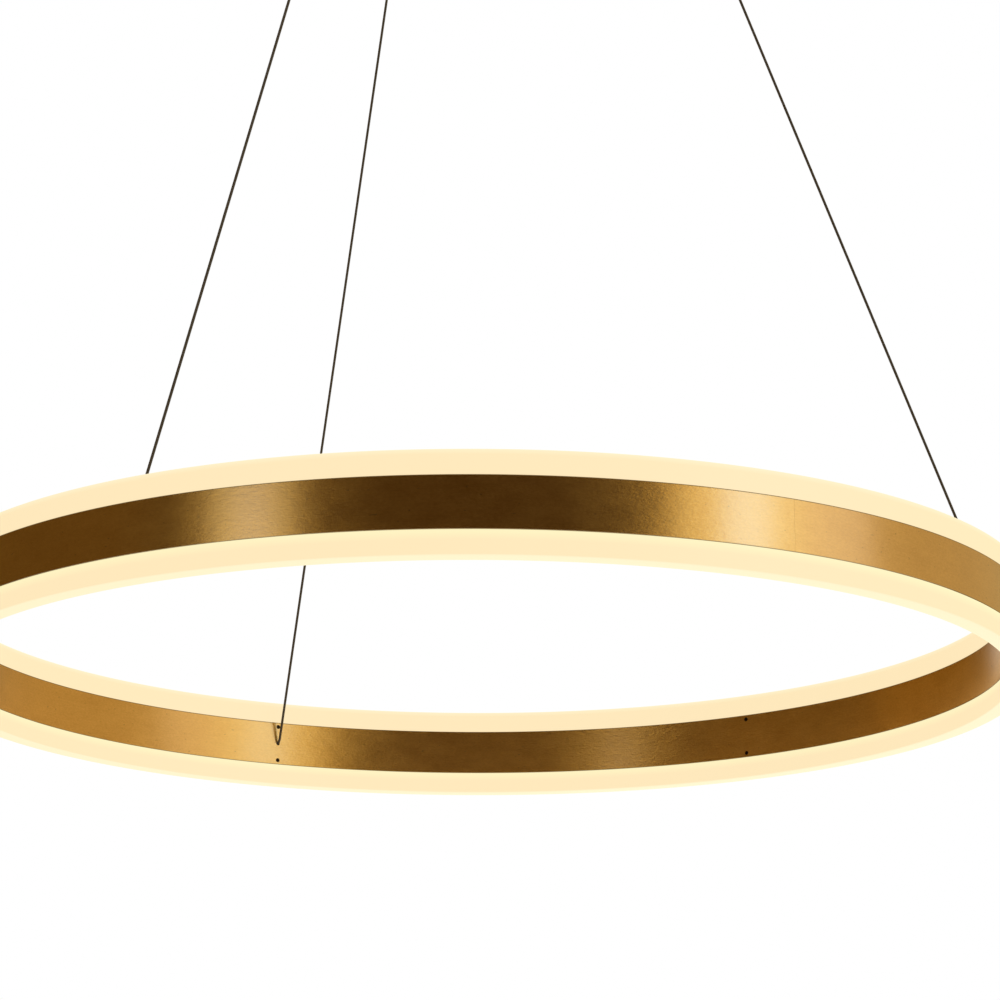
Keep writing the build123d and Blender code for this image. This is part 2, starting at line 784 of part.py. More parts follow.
def save_canopy():
    """The ceiling fitting and the wiring in it."""
    for piece in (canopy_cover, ceiling_bracket, canopy_thumbscrews, driver_case, driver_lid, driver_board,
                  driver_components, terminal_block, terminal_screws, mounting_tape, earth_tag, earth_screw,
                  earth_lead):
        save(piece.__name__, piece())
    live, _, neutral = terminal_poles()
    save("live_lead", mains_lead(live))
    save("neutral_lead", mains_lead(neutral))
    positive, negative = feed_leads()
    save("feed_lead_positive", positive)
    save("feed_lead_negative", negative)


os.makedirs("parts", exist_ok=True)
save_ring()
save_cables()
save_canopy()
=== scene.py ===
"""Looks of a ring pendant light: a brushed brass band, lit opal rings, taut cables and a ceiling canopy."""

import math

import bmesh
import bpy
from bpy.props import FloatProperty, FloatVectorProperty, IntProperty, PointerProperty
from mathutils import Matrix, Vector


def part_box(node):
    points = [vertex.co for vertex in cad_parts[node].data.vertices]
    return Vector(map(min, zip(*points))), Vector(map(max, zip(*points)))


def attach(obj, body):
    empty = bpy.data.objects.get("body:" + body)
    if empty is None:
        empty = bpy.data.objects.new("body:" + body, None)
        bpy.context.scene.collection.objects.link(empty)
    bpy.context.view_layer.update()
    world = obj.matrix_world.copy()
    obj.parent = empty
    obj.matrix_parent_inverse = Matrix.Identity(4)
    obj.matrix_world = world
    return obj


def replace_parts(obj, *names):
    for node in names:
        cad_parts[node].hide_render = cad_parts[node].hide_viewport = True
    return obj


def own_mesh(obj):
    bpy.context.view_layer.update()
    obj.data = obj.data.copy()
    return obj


bl_info = {
    "name": "Ring Pendant Light",
    "version": (1, 0, 0),
    "blender": (4, 5, 0),
    "location": "View3D > Sidebar > Pendant",
    "description": "Dresses the frame of a ring pendant light in brass, lit opal and coated cable",
    "category": "Object",
}

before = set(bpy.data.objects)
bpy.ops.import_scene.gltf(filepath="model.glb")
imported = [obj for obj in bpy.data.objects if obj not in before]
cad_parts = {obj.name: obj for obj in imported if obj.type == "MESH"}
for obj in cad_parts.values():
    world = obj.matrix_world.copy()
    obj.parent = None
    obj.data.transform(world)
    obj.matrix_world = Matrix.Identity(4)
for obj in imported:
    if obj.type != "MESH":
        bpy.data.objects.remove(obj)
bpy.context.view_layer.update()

# Places read from the frame
band_low, band_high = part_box("ring_profile")
opal_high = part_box("upper_diffuser")[1]
cable_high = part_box("suspension_cable_1")[1]
canopy_low, canopy_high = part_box("canopy_cover")
bracket_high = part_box("ceiling_bracket")[1]
screw_low, screw_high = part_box("canopy_thumbscrews")
ring_level = (band_low.z + band_high.z) / 2
half_band = (band_high.z - band_low.z) / 2
opal_reach = opal_high.z - band_high.z
cable_numbers = (1, 2, 3)

full_turn = 2 * math.pi
round_steps = 6
spline_steps = 16
hole_sides = 32

# Points on the axis that are this close become one, and edges that turn by more than this stay sharp
axis_merge = 1e-7
sharp_turn = math.radians(30)

# How far a thumbscrew reaches into the bracket
screw_hold = 0.0035


# Sizes and colours that a user would change

def length(name, description, default):
    """A length in metres."""
    return FloatProperty(name=name, description=description, default=default, unit="LENGTH", precision=5)


def angle(name, description, degrees):
    """An angle, given in degrees."""
    return FloatProperty(name=name, description=description, default=math.radians(degrees), unit="ROTATION")


def colour(name, description, red, green, blue):
    """A colour in linear light."""
    return FloatVectorProperty(name=name, description=description, default=(red, green, blue),
                               subtype="COLOR", min=0.0, max=1.0)


class RingSizes(bpy.types.PropertyGroup):
    """The ring's section and the holes in it."""

    radius: length("Radius", "Outer radius of the ring", band_high.x)
    width: length("Width", "Width of the ring's section", 0.010)
    wall: length("Wall", "Thickness of the band's two walls", 0.0015)
    web: length("Web", "Thickness of the webs between the walls", 0.0015)
    duct: length("Duct", "Height of the wire duct between the webs", 0.008)
    edge_break: length("Edge break", "Width of the broken edges of the band and the opal rings", 0.0002)
    seam_gap: length("Seam gap", "Width of the butt seam in the band", 0.00006)
    seam_angle: angle("Seam angle", "Place of the butt seam, from +X towards +Y", -60.0)
    leg: length("Leg", "Thickness of the opal ring's legs", 0.0016)
    leg_depth: length("Leg depth", "Depth of the legs in the band", 0.0058)
    leg_gap: length("Leg gap", "Gap between a leg and the band's wall", 0.00015)
    roof: length("Roof", "Thickness of the opal ring's lit face", 0.0025)
    round: length("Round", "Radius of the opal ring's free edges", 0.0008)
    screw_count: IntProperty(name="Screws", description="Screws round each opal ring", default=6, min=1)
    screw_hole: length("Screw hole", "Diameter of the diffuser screws' holes", 0.0025)
    screw_edge: length("Screw edge", "Distance of the diffuser screws from the band's edge", 0.0025)
    splice_hole: length("Splice hole", "Diameter of the splice screws' holes", 0.003)
    splice_spacing: length("Splice spacing", "Distance between the two splice screws", 0.030)
    segments: IntProperty(name="Segments", description="Flats round the ring", default=720, min=48)


class CableSizes(bpy.types.PropertyGroup):
    """The cables' route from the grippers to the ring."""

    diameter: length("Diameter", "Diameter of the coated cable", 0.0015)
    hole: length("Hole", "Diameter of the cable holes in the band", 0.0022)
    first_angle: angle("First angle", "Place of the first cable, from +X towards +Y", 114.5)
    circle: length("Circle", "Radius of the circle that the grippers stand on", 0.075)
    mouth: length("Mouth", "Height at which a cable leaves its gripper", cable_high.z)
    mouth_bend: length("Mouth bend", "Drop from the gripper to the corner of its bend", 0.004)
    foot: length("Foot", "Radius at which a cable turns into the band", 0.28819)
    foot_dip: FloatVectorProperty(
        name="Foot dip", size=2, default=(0.0005, -0.0015), precision=5,
        description="Shift of the turn, out and up, that leads a cable through the middle of its hole")
    end: length("End", "Radius of a cable's end in its stop", 0.2957)
    straight: length("Straight", "Distance from a bend at which a cable runs straight", 0.009)
    sides: IntProperty(name="Sides", description="Sides of the cable's section", default=20, min=6)


class CanopySizes(bpy.types.PropertyGroup):
    """The canopy's shell and the thumbscrews that hold it to its bracket."""

    wall: length("Wall", "Thickness of the canopy's sheet", 0.0012)
    edge_round: length("Edge round", "Radius of the canopy's lower edge", 0.003)
    rim_break: length("Rim break", "Width of the broken edges of the canopy's rim", 0.0002)
    stud_hole: length("Stud hole", "Diameter of the grippers' holes in the canopy", 0.0064)
    screw_hole: length("Screw hole", "Diameter of the thumbscrews' holes in the canopy", 0.0045)
    segments: IntProperty(name="Segments", description="Flats round the canopy", default=360, min=48)
    shank: length("Shank", "Diameter of a thumbscrew's shank", 0.0039)
    tip: length("Tip", "Distance of a thumbscrew's tip from the canopy's axis", bracket_high.x - screw_hold)
    ridges: IntProperty(name="Ridges", description="Ridges round a thumbscrew's head", default=32, min=8)
    knurl: length("Knurl", "Depth of the knurl", 0.0003)
    head_edge: length("Head edge", "Width of the broken edges of a thumbscrew's head", 0.0006)
    dish: length("Dish", "Depth of the dish in a thumbscrew's head", 0.0004)
    dish_edge: length("Dish edge", "Distance of the dish from the head's side", 0.0018)


class Finishes(bpy.types.PropertyGroup):
    """The colours of the pieces, in linear light."""

    brass: colour("Brass", "Brushed brass of the band and the canopy", 0.87, 0.50, 0.130)
    brass_worn: colour("Worn brass", "Darker grain of the brushed brass", 0.71, 0.385, 0.086)
    # Painted shade on the broken edges of the band and the canopy's rim, standing in for the dark they
    # reflect; also the colour of the worn specks
    edge_shade_and_speck: colour("Brass edge", "Shade of the band's broken edges", 0.39, 0.225, 0.058)
    glow: colour("Glow", "Light of the opal rings between their edges", 0.91, 0.734, 0.440)
    glow_edge: colour("Edge glow", "Light of the opal rings at their free edges", 0.91, 0.81, 0.525)
    glow_near: colour("Near glow", "Light of the lower opal ring next to the band", 0.91, 0.826, 0.480)
    # Painted shade: the opal rings' light and colour fall to this dark where they enter the band, standing in
    # for the shadow in the gap
    joint_shade: colour("Joint", "The opal rings where they enter the band", 0.12, 0.075, 0.025)
    opal: colour("Opal", "The opal rings' own colour", 0.10, 0.09, 0.08)
    cable: colour("Cable", "Coat of the cables", 0.036, 0.024, 0.011)


class StageSettings(bpy.types.PropertyGroup):
    """The camera, the floor and the studio."""

    camera: FloatVectorProperty(name="Camera", description="Place of the camera", subtype="TRANSLATION",
                                default=(-0.0102, -1.8084, -1.0739))
    lens: FloatProperty(name="Lens", description="Focal length, in millimetres", default=122.18)
    tilt: angle("Tilt", "Tilt of the camera above the horizon", 15.5440)
    pan: angle("Pan", "Turn of the camera to its left", -0.7648)
    roll: angle("Roll", "Roll of the camera", 0.0318)
    floor: length("Floor", "Height of the floor", -2.4)
    surround: length("Surround", "Radius of the studio's dark surround", 3.2)
    fill: FloatProperty(name="Fill", description="Strength of the studio's soft fill", default=0.8)
    shade: colour("Shade", "The surround, as the brass shows it", 0.052, 0.0255, 0.0035)


# Shader expressions

class Shade:
    """A shader socket that sums can be written with: each operator adds the node that works it out."""

    def __init__(self, tree, socket=None):
        self.tree = tree
        self.socket = socket

    def node(self, kind, settings=None, inputs=None, output=0):
        """Add a node, make its settings, give its sockets their values or links, and return an output."""
        made = self.tree.nodes.new("ShaderNode" + kind)
        for name, value in (settings or {}).items():
            setattr(made, name, value)
        for name, value in (inputs or {}).items():
            if isinstance(value, Shade):
                self.tree.links.new(value.socket, made.inputs[name])
            else:
                made.inputs[name].default_value = value
        return Shade(self.tree, made.outputs[output] if made.outputs else None)

    def out(self, name):
        """Another output of the same node."""
        return Shade(self.tree, self.socket.node.outputs[name])

    def math(self, operation, *values):
        """A Math node on these values."""
        return self.node("Math", {"operation": operation}, dict(enumerate(values)))

    def mix(self, low, high):
        """A colour between two colours, by this value."""
        inputs = {0: self, 6: low, 7: high}
        return self.node("Mix", {"data_type": "RGBA", "clamp_factor": True}, inputs, 2)

    def span(self, low, high):
        """This value stretched so that low is 0 and high is 1, and held between them."""
        return self.node("MapRange", {"clamp": True}, {"Value": self, "From Min": low, "From Max": high})

    def __add__(self, other):
        return self.math("ADD", self, other)

    __radd__ = __add__

    def __mul__(self, other):
        return self.math("MULTIPLY", self, other)

    __rmul__ = __mul__

    def __sub__(self, other):
        return self.math("SUBTRACT", self, other)

    def __rsub__(self, other):
        return self.math("SUBTRACT", other, self)

    def __truediv__(self, other):
        return self.math("DIVIDE", self, other)

    def __abs__(self):
        return self.math("ABSOLUTE", self)


def solid(shade):
    """A colour with full alpha."""
    return (*shade, 1.0)


def new_material(name):
    """An empty node material and a shade to start its expressions from."""
    material = bpy.data.materials.new(name)
    material.use_nodes = True
    material.node_tree.nodes.clear()
    return material, Shade(material.node_tree)


def surface(root, inputs):
    """A Principled surface with these constants and expressions."""
    shader = root.node("BsdfPrincipled", None, inputs)
    root.node("OutputMaterial", None, {"Surface": shader})


def place_of(root):
    """The place on the piece, in metres."""
    return root.node("TexCoord", output="Object")


def height_of(root):
    """The height of the place on the piece."""
    return root.node("SeparateXYZ", None, {0: place_of(root)}, "Z")


def flat_place(root):
    """The place on the piece with no height."""
    return root.node("VectorMath", {"operation": "MULTIPLY"}, {0: place_of(root), 1: (1.0, 1.0, 0.0)})


def from_axis(root):
    """The distance from the Z axis."""
    return root.node("VectorMath", {"operation": "LENGTH"}, {0: flat_place(root)}, "Value")


def grain(root, size, detail=2.0):
    """Noise from 0 to 1 whose grains have that size along X, Y and Z."""
    scaled = root.node("VectorMath", {"operation": "DIVIDE"}, {0: place_of(root), 1: size})
    return root.node("TexNoise", None, {"Vector": scaled, "Scale": 1.0, "Detail": detail}, "Fac")


def turned_grain(root, radius, along, across, detail):
    """Noise in streaks that run round the Z axis, that long on this radius and that fine across."""
    toward = root.node("VectorMath", {"operation": "NORMALIZE"}, {0: flat_place(root)})
    side = root.node("SeparateXYZ", None, {0: toward}, "X")
    reach = radius / along
    rise = (from_axis(root) + height_of(root)) / across
    streak = root.node("CombineXYZ", None, {0: side * reach, 1: side.out("Y") * reach, 2: rise})
    return root.node("TexNoise", None, {"Vector": streak, "Scale": 1.0, "Detail": detail}, "Fac")


def weighed(layers, shares):
    """Layers of grain added up, each times its share."""
    total = shares[0] * layers[0]
    for layer, share in zip(layers[1:], shares[1:]):
        total = total + share * layer
    return total


def bump(root, height, depth):
    """A normal roughened by a height from 0 to 1, that deep in metres."""
    return root.node("Bump", None, {"Height": height, "Distance": depth, "Strength": 1.0})


# Finishes

# The part of a noise's range that holds most of its values, and the middle of the range
most_noise = (0.3, 0.7)
noise_middle = 0.5

# Brushed brass: the length, the width and the detail of each layer of its grain
stroke_grain = (0.014, 0.0007, 2.0)
fleck_grain = (0.0016, 0.0008, 1.0)
patch_grain = (0.020, 0.009, 3.0)
wave_grain = (0.005, 0.0014, 3.0)
dent_grain = (0.007, 0.006, 2.0)
speck_grain = (0.0022, 0.0012, 0.0)

# The shares of strokes, flecks and patches in its tone, and of strokes, flecks, waves and dents in its relief
tone_shares = (0.2, 0.45, 0.35)
relief_shares = (0.05, 0.4, 0.55, 0.4)
relief_depth = 0.00005

# The peaks of the noise that make worn specks, how dark a speck is, and how far the painted shade of an edge
# reaches
speck_peaks = (0.80, 0.86)
speck_dark = 0.5
edge_fade = (0.0001, 0.0005)

# Its roughness, what flecks and patches add to it, the lacquer lost inside, and the width of that change
brass_rough = 0.28
fleck_rough = 0.02
patch_rough = 0.04
lacquer_loss = 0.55
lacquer_fade = 0.001

# Lit opal: the size of its clouds, and how far they shift the light of the upper and the lower free edge
opal_cloud = (0.05, 0.05, 0.02)
upper_shift = 0.06
lower_shift = 0.01

# The shares of its height between which the light changes: by the band, at each free edge, and in the painted
# shade where it enters the band
near_fade = (0.04, 0.40)
upper_fade = (0.78, 1.0)
lower_fade = (0.95, 0.99)
joint_shade_fade = (0.004, 0.016)

# Cable coat: the size of its mottle, how much paler that is, its roughness and what the mottle adds to it
cable_mottle = (0.002, 0.002, 0.006)
mottle_pale = 1.6
cable_rough = 0.36
mottle_rough = 0.12

# Plain metals: colour, roughness, and the size of the grain along X, Y and Z
metals = {
    "blackened_steel": ((0.050, 0.030, 0.014), 0.42, (0.0003, 0.0003, 0.0003)),
    "crimp_metal": ((0.62, 0.62, 0.63), 0.35, (0.0004, 0.0004, 0.0004)),
    "turned_brass": ((0.78, 0.52, 0.20), 0.25, (0.004, 0.004, 0.00025)),
    "bright_brass": ((0.82, 0.60, 0.27), 0.2, (0.004, 0.004, 0.00025)),
    "thumbscrew_brass": ((0.78, 0.52, 0.20), 0.25, (0.00025, 0.004, 0.004)),
    "spring_steel": ((0.62, 0.62, 0.62), 0.28, (0.0005, 0.0005, 0.0005)),
    "zinc_plate": ((0.60, 0.61, 0.62), 0.38, (0.012, 0.0008, 0.0008)),
}
metal_detail = 3.0
metal_dark = 0.82
metal_relief = 0.000003

# Plastics, insulation and foam: colour, roughness, and the size of the grain in the skin
plastics = {
    "strip_mask": ((0.82, 0.82, 0.79), 0.45, 0.0004),
    "phosphor": ((0.95, 0.72, 0.16), 0.3, 0.0003),
    "sleeve_plastic": ((0.50, 0.02, 0.012), 0.35, 0.0003),
    "driver_plastic": ((0.78, 0.78, 0.75), 0.5, 0.0004),
    "terminal_plastic": ((0.82, 0.82, 0.78), 0.45, 0.0004),
    "circuit_board": ((0.010, 0.085, 0.022), 0.4, 0.0006),
    "component_plastic": ((0.013, 0.013, 0.015), 0.35, 0.0004),
    "foam_tape": ((0.035, 0.035, 0.035), 0.9, 0.0005),
    "live_lead_insulation": ((0.075, 0.020, 0.006), 0.4, 0.0003),
    "neutral_lead_insulation": ((0.010, 0.033, 0.32), 0.4, 0.0003),
    "feed_lead_positive_insulation": ((0.38, 0.005, 0.004), 0.4, 0.0003),
    "feed_lead_negative_insulation": ((0.004, 0.004, 0.004), 0.4, 0.0003),
}
plastic_patch = (0.02, 0.02, 0.02)
plastic_shares = (0.6, 0.4)
plastic_dark = 0.88
plastic_relief = 0.05

# How much the roughness of a metal or a plastic swings with its grain
rough_swing = 0.1

# Earth insulation: its two greens, its stripe, where the stripe starts, its grain and its roughness
earth_dark = (0.010, 0.13, 0.012)
earth_green = (0.014, 0.17, 0.016)
earth_stripe = (0.62, 0.46, 0.012)
stripe_edge = (0.00055, 0.00065)
earth_grain = (0.006, 0.006, 0.006)
earth_rough = 0.35


def brushed_brass(looks, name, radius, edges, inside=0.0):
    """Lacquered brass, brushed round the Z axis, with painted shade at the heights of its edges.

    Where a radius is given as inside, the lacquer is thinner within it.
    """
    material, root = new_material(name)
    strokes = turned_grain(root, radius, *stroke_grain).span(*most_noise)
    flecks = turned_grain(root, radius, *fleck_grain).span(*most_noise)
    patches = turned_grain(root, radius, *patch_grain).span(*most_noise)
    waves = turned_grain(root, radius, *wave_grain).span(*most_noise)
    dents = turned_grain(root, radius, *dent_grain).span(*most_noise)
    specks = turned_grain(root, radius, *speck_grain).span(*speck_peaks)
    bright = weighed((strokes, flecks, patches), tone_shares)
    tone = bright.mix(solid(looks.brass_worn), solid(looks.brass))
    tone = (speck_dark * specks).mix(tone, solid(looks.edge_shade_and_speck))
    up = height_of(root)
    # Painted shade: the brass darkens towards each edge's height, within the edge fade
    for edge in edges:
        tone = abs(up - edge).span(*edge_fade).mix(solid(looks.edge_shade_and_speck), tone)
    rough = brass_rough + fleck_rough * flecks + patch_rough * patches
    lacquer = 1.0
    if inside:
        dull = 1 - from_axis(root).span(inside, inside + lacquer_fade)
        lacquer = 1 - lacquer_loss * dull
    relief = weighed((strokes, flecks, waves, dents), relief_shares)
    surface(root, {"Base Color": tone, "Metallic": 1.0, "Roughness": rough,
                   "Normal": bump(root, relief, relief_depth),
                   "Anisotropic": 0.3, "Anisotropic Rotation": 0.25,
                   "Coat Weight": lacquer, "Coat Roughness": 0.2, "Coat IOR": 2.2})
    return material


def opal_acrylic(looks):
    """Opal acrylic lit from inside: even light, brighter at its edges, with painted shade where it enters the
    band.
    """
    material, root = new_material("opal_acrylic")
    up = height_of(root)
    share = (abs(up - ring_level) - half_band) / opal_reach
    cloud = grain(root, opal_cloud) - noise_middle
    below = (ring_level - up).span(0.0, half_band)
    near = below * (1 - share.span(*near_fade))
    body = near.mix(solid(looks.glow), solid(looks.glow_near))
    upper_edge = (share + upper_shift * cloud).span(*upper_fade)
    lower_edge = (share + lower_shift * cloud).span(*lower_fade)
    edge = upper_edge + below * (lower_edge - upper_edge)
    body = edge.mix(body, solid(looks.glow_edge))
    # Painted shade: a thin dark strip of the light and the colour just above the band's edge
    clear = share.span(*joint_shade_fade)
    glow = clear.mix(solid(looks.joint_shade), body)
    tone = clear.mix(solid(looks.joint_shade), solid(looks.opal))
    surface(root, {"Base Color": tone, "Roughness": 0.5, "Specular IOR Level": 0.2,
                   "Emission Color": glow, "Emission Strength": 1.0})
    return material


def cable_coat(looks):
    """Dark clear-coated steel cable."""
    material, root = new_material("cable_coat")
    mottle = grain(root, cable_mottle)
    tone = mottle.mix(solid(looks.cable), solid([mottle_pale * c for c in looks.cable]))
    surface(root, {"Base Color": tone, "Roughness": cable_rough + mottle_rough * mottle,
                   "Specular IOR Level": 0.28})
    return material


def plain_metal(name):
    """One of the plated, turned or bare metals."""
    shade, rough, size = metals[name]
    material, root = new_material(name)
    fine = grain(root, size, metal_detail).span(*most_noise)
    tone = fine.mix(solid([metal_dark * c for c in shade]), solid(shade))
    surface(root, {"Base Color": tone, "Metallic": 1.0, "Normal": bump(root, fine, metal_relief),
                   "Roughness": rough - rough_swing / 2 + rough_swing * fine})
    return material


def moulded(name):
    """One of the plastics, insulations or foams."""
    shade, rough, size = plastics[name]
    material, root = new_material(name)
    fine = grain(root, (size, size, size))
    wide = grain(root, plastic_patch)
    bright = weighed((wide, fine), plastic_shares)
    tone = bright.mix(solid([plastic_dark * c for c in shade]), solid(shade))
    surface(root, {"Base Color": tone, "Normal": bump(root, fine, plastic_relief * size),
                   "Roughness": rough - rough_swing / 2 + rough_swing * fine})
    return material


def earth_insulation():
    """Green insulation with a yellow stripe along each side, for a lead that lies in the plane of X and Z."""
    material, root = new_material("earth_insulation")
    side = abs(root.node("SeparateXYZ", None, {0: place_of(root)}, "Y"))
    wide = grain(root, earth_grain)
    green = wide.mix(solid(earth_dark), solid(earth_green))
    tone = side.span(*stripe_edge).mix(green, solid(earth_stripe))
    surface(root, {"Base Color": tone, "Roughness": earth_rough + rough_swing * wide})
    return material


# Mesh tools

def new_object(name, mesh, material):
    """A shown object with that mesh and finish."""
    made = bpy.data.objects.new(name, mesh)
    bpy.context.scene.collection.objects.link(made)
    mesh.materials.append(material)
    return made


def smooth_by_angle(mesh):
    """Smooth shading, with the edges that turn by more than the sharp turn left sharp."""
    mesh.shade_smooth()
    mesh.set_sharp_from_angle(angle=sharp_turn)


def mesh_from(name, bm):
    """Close a bmesh into a mesh, with its faces turned outwards and its sharp edges kept."""
    bmesh.ops.recalc_face_normals(bm, faces=bm.faces)
    mesh = bpy.data.meshes.new(name)
    bm.to_mesh(mesh)
    bm.free()
    smooth_by_angle(mesh)
    return mesh


def around(radius, turn, height):
    """A point at that radius, turn and height."""
    return Vector((radius * math.cos(turn), radius * math.sin(turn), height))


def cable_turn(cables, i):
    """The turn at which a cable stands."""
    return cables.first_angle + (i - 1) * full_turn / len(cable_numbers)


def quarter_round(x, z, radius, start):
    """The points of a quarter round about a middle, from the start angle."""
    turns = [start + math.pi / 2 * i / round_steps for i in range(round_steps + 1)]
    return [(x + radius * math.cos(t), z + radius * math.sin(t)) for t in turns]


def lathe(name, loops, level, segments, gap=None, ends=()):
    """Closed outlines of radius and height turned about the Z axis, whole or with a gap between end faces.

    An end face lists its corners, each the number of an outline and the number of a point on it.
    """
    bm = bmesh.new()
    start, arc = (0.0, full_turn) if gap is None else (gap[1], full_turn - (gap[1] - gap[0]))
    count = segments if gap is None else segments + 1
    turns = [start + arc * i / segments for i in range(count)]
    first = []
    last = []
    for loop in loops:
        rings = [[bm.verts.new(around(r, turn, level + z)) for r, z in loop] for turn in turns]
        pairs = list(zip(rings, rings[1:])) + ([(rings[-1], rings[0])] if gap is None else [])
        for here, there in pairs:
            for i in range(len(loop)):
                bm.faces.new((here[i - 1], there[i - 1], there[i], here[i]))
        first.append(rings[0])
        last.append(rings[-1])
    for end in (first, last):
        for corners in ends:
            bm.faces.new([end[loop][point] for loop, point in corners])
    bmesh.ops.remove_doubles(bm, verts=bm.verts, dist=axis_merge)
    return mesh_from(name, bm)


def tube(name, points, radius, sides):
    """A closed round tube along a line of points."""
    bm = bmesh.new()
    rings = []
    side = (points[1] - points[0]).orthogonal().normalized()
    for i, point in enumerate(points):
        heading = (points[min(i + 1, len(points) - 1)] - points[max(i - 1, 0)]).normalized()
        side = (side - heading * side.dot(heading)).normalized()
        other = heading.cross(side)
        turns = [full_turn * k / sides for k in range(sides)]
        spots = [point + radius * (math.cos(t) * side + math.sin(t) * other) for t in turns]
        rings.append([bm.verts.new(spot) for spot in spots])
    for here, there in zip(rings, rings[1:]):
        for k in range(sides):
            bm.faces.new((here[k - 1], here[k], there[k], there[k - 1]))
    bm.faces.new(rings[0])
    bm.faces.new(rings[-1])
    return mesh_from(name, bm)


def turned_piece(bm, place, stations, ridges):
    """Add a closed piece turned about X: each station is a distance, a radius and a depth of knurl."""
    turns = [math.pi * k / ridges for k in range(2 * ridges)]
    rings = []
    for along, radius, depth in stations:
        reach = [radius - depth * (k % 2) for k in range(len(turns))]
        spots = [Vector((along, r * math.cos(t), r * math.sin(t))) for r, t in zip(reach, turns)]
        rings.append([bm.verts.new(place @ spot) for spot in spots])
    for here, there in zip(rings, rings[1:]):
        for k in range(len(turns)):
            bm.faces.new((here[k - 1], here[k], there[k], there[k - 1]))
    bm.faces.new(rings[0])
    bm.faces.new(rings[-1])


def smooth_line(points):
    """Points along the NURBS spline that has these control points."""
    curve = bpy.data.curves.new("route", "CURVE")
    curve.dimensions = "3D"
    spline = curve.splines.new("NURBS")
    spline.points.add(len(points) - 1)
    for made, place in zip(spline.points, points):
        made.co = (*place, 1.0)
    spline.order_u = 3
    spline.use_endpoint_u = True
    spline.resolution_u = spline_steps
    holder = bpy.data.objects.new("route", curve)
    line = bpy.data.meshes.new_from_object(holder)
    places = [v.co.copy() for v in line.vertices]
    bpy.data.objects.remove(holder)
    bpy.data.curves.remove(curve)
    bpy.data.meshes.remove(line)
    return places


def drill(target, holes):
    """Cut round holes, each a middle, an outward direction, a diameter and a depth, out of an object."""
    bm = bmesh.new()
    for middle, heading, diameter, depth in holes:
        place = Matrix.Translation(middle) @ heading.to_track_quat("Z", "Y").to_matrix().to_4x4()
        bmesh.ops.create_cone(bm, cap_ends=True, segments=hole_sides, radius1=diameter / 2,
                              radius2=diameter / 2, depth=depth, matrix=place)
    mesh = bpy.data.meshes.new("drills")
    bm.to_mesh(mesh)
    bm.free()
    cutter = bpy.data.objects.new("drills", mesh)
    bpy.context.scene.collection.objects.link(cutter)
    cut = target.modifiers.new("holes", "BOOLEAN")
    cut.operation = "DIFFERENCE"
    cut.solver = "EXACT"
    cut.object = cutter
    shaped = bpy.data.meshes.new_from_object(target.evaluated_get(bpy.context.evaluated_depsgraph_get()))
    target.modifiers.remove(cut)
    plain = target.data
    shaped.name = plain.name
    target.data = shaped
    bpy.data.meshes.remove(plain)
    bpy.data.objects.remove(cutter)
    bpy.data.meshes.remove(mesh)
    smooth_by_angle(shaped)


def dress(material, *names):
    """Give CAD nodes a finish."""
    for name in names:
        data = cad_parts[name].data
        data.materials.clear()
        data.materials.append(material)


def each(name):
    """The names of a piece that comes once for each cable."""
    return [f"{name}_{i}" for i in cable_numbers]


# Pieces

class PENDANT_OT_band(bpy.types.Operator):
    """Make the brass band with its seam and its holes"""

    bl_idname = "pendant.band"
    bl_label = "Band"
    drill_reach = 2

    def execute(self, context):
        ring = context.scene.pendant_ring
        middle = ring.radius - ring.width / 2
        # The heights of the band's edges, where its brass gets painted shade
        edges = (band_low.z, band_high.z)
        brass = brushed_brass(context.scene.pendant_looks, "band_brass", ring.radius, edges, middle)
        band = new_object("band", self.shape(ring), brass)
        drill(band, self.holes(ring, context.scene.pendant_cables))
        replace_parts(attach(band, "ring"), "ring_profile")
        return {"FINISHED"}

    def shape(self, ring):
        """The band's mesh: two walls joined by two webs, with their edges broken."""
        outer = ring.radius
        inner = outer - ring.width
        half = half_band
        cut = ring.edge_break
        channel_out = outer - ring.wall
        channel_in = inner + ring.wall
        duct = ring.duct / 2
        web = duct + ring.web
        right = [(outer, half - cut), (outer - cut, half), (channel_out, half), (channel_out, web)]
        left = [(channel_in, web), (channel_in, half), (inner + cut, half), (inner, half - cut)]
        upper = right + left
        lower = [(r, -z) for r, z in reversed(upper)]
        hollow = [(channel_out, -duct), (channel_out, duct), (channel_in, duct), (channel_in, -duct)]
        half_gap = ring.seam_gap / 2 / outer
        gap = (ring.seam_angle - half_gap, ring.seam_angle + half_gap)
        # The end faces at the seam: each corner is a point of the outline (0) or of the duct (1)
        outer_wall = [(0, i) for i in (12, 13, 14, 15, 0, 1, 2, 3)] + [(1, 1), (1, 0)]
        inner_wall = [(0, i) for i in (4, 5, 6, 7, 8, 9, 10, 11)] + [(1, 3), (1, 2)]
        upper_web = [(0, 3), (0, 4), (1, 2), (1, 1)]
        lower_web = [(0, 11), (0, 12), (1, 0), (1, 3)]
        ends = (outer_wall, inner_wall, upper_web, lower_web)
        return lathe("band", [upper + lower, hollow], ring_level, ring.segments, gap, ends)

    def holes(self, ring, cables):
        """The holes in the inner wall: cables at mid height, a screw above and below, and two at the seam."""
        inner = ring.radius - ring.width
        middle = inner + ring.wall / 2
        depth = self.drill_reach * ring.wall
        found = []
        for i in cable_numbers:
            turn = cable_turn(cables, i)
            found.append((around(middle, turn, ring_level), around(1, turn, 0), cables.hole, depth))
        level = half_band - ring.screw_edge
        for i in range(ring.screw_count):
            turn = cables.first_angle + i * full_turn / ring.screw_count
            for height in (ring_level + level, ring_level - level):
                found.append((around(middle, turn, height), around(1, turn, 0), ring.screw_hole, depth))
        for side in (-1, 1):
            turn = ring.seam_angle + side * ring.splice_spacing / 2 / inner
            found.append((around(middle, turn, ring_level), around(1, turn, 0), ring.splice_hole, depth))
        return found


